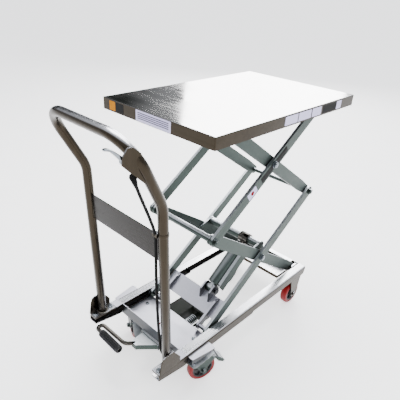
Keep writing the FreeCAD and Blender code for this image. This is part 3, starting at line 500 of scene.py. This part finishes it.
def make_rib(end, side, matrix, body, angle, index):
    """Radial stiffener that stands out of the web on both faces."""
    outline = [(13.2, 13.4), (15.0, 12.0), (24.0, 9.4), (30.8, 9.8), (32.8, 11.4),
               (32.8, -11.4), (30.8, -9.8), (24.0, -9.4), (15.0, -12.0), (13.2, -13.4)]
    radial = Vector((math.cos(angle), 0, math.sin(angle)))
    across = Vector((-math.sin(angle), 0, math.cos(angle)))
    bm = bmesh.new()
    first, last = [[bm.verts.new(matrix @ ((radial * r + Vector((0, y, 0)) + across * offset) * MM))
                    for r, y in outline] for offset in (-RIB_HALF_WIDTH, RIB_HALF_WIDTH)]
    bm.faces.new(first)
    bm.faces.new(list(reversed(last)))
    bridge(bm, first, last)
    bmesh.ops.bevel(bm, geom=list(bm.edges), offset=RIB_EDGE, segments=2, affect="EDGES", profile=0.5)
    add_piece(f"rib_{end}_{side}_{index}", bm, "nylon", body, 40)


# Pedal grip, release lever and cable boot -------------------------------------------------

FLUTES = 12
LEVER_SIDES = 24
BOOT_RIBS, BOOT_PITCH = 5, 5.2


def make_grip():
    """Fluted rubber grip: twelve ribs along it, a rounded end and a collar at its mouth."""
    low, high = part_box("pedal_grip")
    centre = (low + high) / 2
    length = (high.y - low.y) / MM
    bar = Vector((4, 128, -1)).normalized()
    half = length / 2
    count = 26
    outside = [(7.0, -half), (10.2, -half), (11.6, -half + 0.8), (12.6, -half + 2.6)]
    outside += [(13.0, -half + 4 + (length - 10) * k / count) for k in range(count + 1)]
    outside += [(12.9, half - 4.6), (12.2, half - 2.4), (10.8, half - 0.9), (8.8, half - 0.2),
                (7.0, half - 0.1)]

    def flutes(r, y, angle):
        """Ribs and grooves that fade out over the last few millimetres of the grip's length."""
        fade = min(1.0, max(0.0, (half - 5 - abs(y)) / 6))
        return fade * (0.5 if math.cos(FLUTES * angle) > 0 else -1.6) if r > 12.8 else 0.0

    bm = lathe(outside, axis_frame(centre, bar), 128, flutes)
    grip = add_piece("grip_sleeve", bm, "rubber", "pedal", 45)
    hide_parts("pedal_grip")


def make_lever():
    """Pressed lever on a bored boss: a crowned blade that sweeps up to the rear and curls over at its tip."""
    middle_y = -166.2
    # x, z, half height and half width in mm, from the lower end to the tip
    stations = ((-421, 860, 3.0, 5.6), (-427, 867, 4.6, 6.6), (-438, 878, 6.2, 7.0), (-450, 889, 4.8, 7.0),
                (-461, 900, 3.8, 7.6), (-470, 908, 3.2, 8.0), (-479, 913.5, 2.8, 7.8),
                (-487, 915.5, 2.5, 6.8), (-490.5, 914.8, 1.8, 4.6))
    bm = bmesh.new()
    rings = []
    for k, (x, z, half_high, half_wide) in enumerate(stations):
        before, after = stations[max(k - 1, 0)], stations[min(k + 1, len(stations) - 1)]
        along = Vector((after[0] - before[0], 0, after[1] - before[1])).normalized()
        upward = Vector((along.z, 0, -along.x))
        ring = []
        for m in range(LEVER_SIDES):
            angle = FULL_TURN * m / LEVER_SIDES
            c, t = math.cos(angle), math.sin(angle)
            wide = half_wide * math.copysign(abs(c) ** 0.6, c)
            high = half_high * math.copysign(abs(t) ** 0.7, t)
            ring.append(bm.verts.new((Vector((x, middle_y + wide, z)) + upward * high) * MM))
        rings.append(ring)
    for here, there in zip(rings, rings[1:]):
        bridge(bm, here, there)
    cap_ends(bm, rings[0], rings[-1])
    blade = add_piece("lever_blade", bm, "bright", "release_lever", 40)
    smooth = blade.modifiers.new("smooth", "SUBSURF")
    smooth.levels = smooth.render_levels = 2
    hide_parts("release_lever")
    pivot = Vector((-438, middle_y, 878)) * MM
    boss = lathe([(4.1, -7), (4.1, 7), (9.4, 7), (10, 6.4), (10, -6.4), (9.4, -7)],
                 axis_frame(pivot, ALONG_Y), 64)
    add_piece("lever_boss", boss, "bright", "release_lever", 40)


def make_boot():
    """Ribbed rubber boot where the cable enters the lever's bracket."""
    start, end = Vector((-0.419, -0.166, 0.840)), Vector((-0.410, -0.1645, 0.816))
    profile = [(4.05, 1.0), (4.05, 30.0), (5.2, 30.0)]
    for k in range(BOOT_RIBS):
        y = 27.5 - BOOT_PITCH * k
        wide = 5.6 + 0.75 * k
        profile += [(wide, y), (wide, y - 1.9), (wide - 1.1, y - 2.6), (wide - 1.1, y - 4.1)]
    profile += [(7.6, 2.4), (7.2, 1.0)]
    bm = lathe(profile, axis_frame(start, (end - start).normalized()), 48)
    add_piece("cable_boot", bm, "sheath", "base")


# Films and marks, all blank ---------------------------------------------------------------

def make_films():
    """Blank films on the platform's rear and right edges; four grey lines stand for the rear one's text."""
    low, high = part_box("table_top")
    middle = (low.z + high.z) / 2
    rear = low.x - PROUD
    back = (0, -1, 0)
    film("film_yellow", (rear, 0.179, middle), back, ALONG_Z, (0.027, 0.027), "yellow", "table")
    film("film_black_rear", (rear, 0.145, middle), back, ALONG_Z, (0.036, 0.027), "black_film", "table")
    film("film_white_rear", (rear, 0.0, middle - 0.0006), back, ALONG_Z, (0.142, 0.0315), "white_film",
         "table")
    for k in range(4):
        film(f"film_rule_{k}", (rear - 0.0006, 0.0, middle + 0.0085 - 0.0052 * k), back, ALONG_Z,
             (0.126, 0.0022), "line_ink", "table", 0.0004, 0.00015)
    right = low.y - PROUD
    patches = ((-0.026, 0.064, "white_film"), (0.045, 0.068, "white_film"), (0.111, 0.052, "white_film"),
               (0.189, 0.084, "black_film"), (0.249, 0.030, "white_film"))
    for k, (x, width, tone) in enumerate(patches):
        film(f"film_side_{k}", (SOURCE_X + x, right, middle), ALONG_X, ALONG_Z, (width, 0.026), tone,
             "table")


def make_arm_films():
    """Black strip and a small white and red mark on the right upper outer arm; two red marks on the deck."""
    span = TABLE_FRONT_PIVOT - MIDDLE_REAR_PIVOT
    along = span.normalized()
    up = Vector((-along.z, 0, along.x))
    face = Vector((0, -0.144 - PROUD, 0))
    mark = 0.305
    for name, share, width, height, tone in (("black", 0.50, 0.150, 0.022, "black_film"),
                                             ("white", mark, 0.046, 0.026, "white_film")):
        film(f"film_arm_{name}", MIDDLE_REAR_PIVOT + along * span.length * share + face, along, up,
             (width, height), tone, "upper_outer")
    spot = MIDDLE_REAR_PIVOT + along * span.length * mark + face + Vector((0, -FILM_THICK, 0))
    film("film_arm_red", spot, along, up, (0.015, 0.015), "red_film", "upper_outer", 0.007, 0.00015)
    deck_low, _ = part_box("deck_plate")
    deck_top = deck_low.z + DECK_SHEET + PROUD
    for k in (0, 1):
        film(f"film_deck_{k}", (-0.170, 0.012 - 0.011 * k, deck_top), ALONG_X, ALONG_Y, (0.016, 0.0055),
             "red_film", "base", 0.001, 0.0003)


# Weld beads ----------------------------------------------------------------------------------

def make_welds():
    """Beads round the posts' feet, along the panel's seams and where the cross plate meets the arms."""
    low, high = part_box("handle_panel")
    x_low, x_high = low.x + 0.002, high.x - 0.002
    post_y, post_radius = 0.1662, 0.0145
    for side, sign in (("left", 1), ("right", -1)):
        foot = (-0.304, sign * 0.168, 0.1695)
        bead(f"weld_post_{side}", level_ellipse(foot, 0.0158, 0.0150), 0.0020, "base", closed=True)
        seam_y = sign * (post_y - post_radius)
        seam = straight(Vector((x_high, seam_y, low.z + 0.004)), Vector((x_low, seam_y, high.z - 0.004)))
        bead(f"weld_panel_{side}", seam, 0.0016, "base")
        reach = Vector((0, sign * 0.1325, 0))
        first, last = (BASE_REAR_PIVOT + LOWER_ARM_ALONG * s + LOWER_ARM_UP * -0.0065 + reach
                       for s in (0.046, 0.116))
        bead(f"weld_cross_{side}", straight(first, last), 0.0017, "lower_outer")


add_camera()
add_studio()
add_floor()
dress_frame()
for end in ("front", "rear"):
    for side in SIDES:
        make_tyre(end, side)
        make_hub(end, side)
make_grip()
make_lever()
make_boot()
make_films()
make_arm_films()
make_welds()
